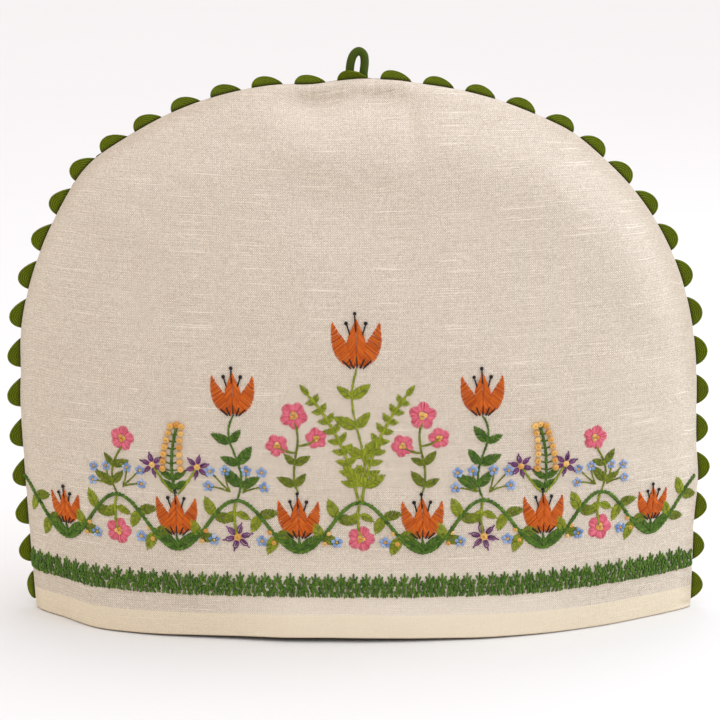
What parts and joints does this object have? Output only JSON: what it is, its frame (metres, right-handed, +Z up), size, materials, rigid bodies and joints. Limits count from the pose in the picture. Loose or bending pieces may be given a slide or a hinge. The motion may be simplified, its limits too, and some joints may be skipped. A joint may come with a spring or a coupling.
{
  "type": "tea cosy",
  "caption": "Domed linen tea cosy that stands open on its hem, with wavy braid caught in its arched seam, a cord loop on top and an embroidered flower border.",
  "frame": {"origin": "centre of the cosy's outline on the surface that it stands on", "axes": "+X along the cosy's width, to the right seen from the front; +Y towards its back; +Z up"},
  "size_m": [0.3773, 0.1062, 0.3046],
  "materials": {
    "linen": "matt cream plain-weave linen",
    "rickrack": "matt leaf-green woven braid",
    "cord": "matt dark-green cord"
  },
  "bodies": {
    "root": {"front_panel": "linen", "back_panel": "linen", "rickrack_trim": "rickrack", "hanging_loop": "cord"}
  },
  "joints": []
}
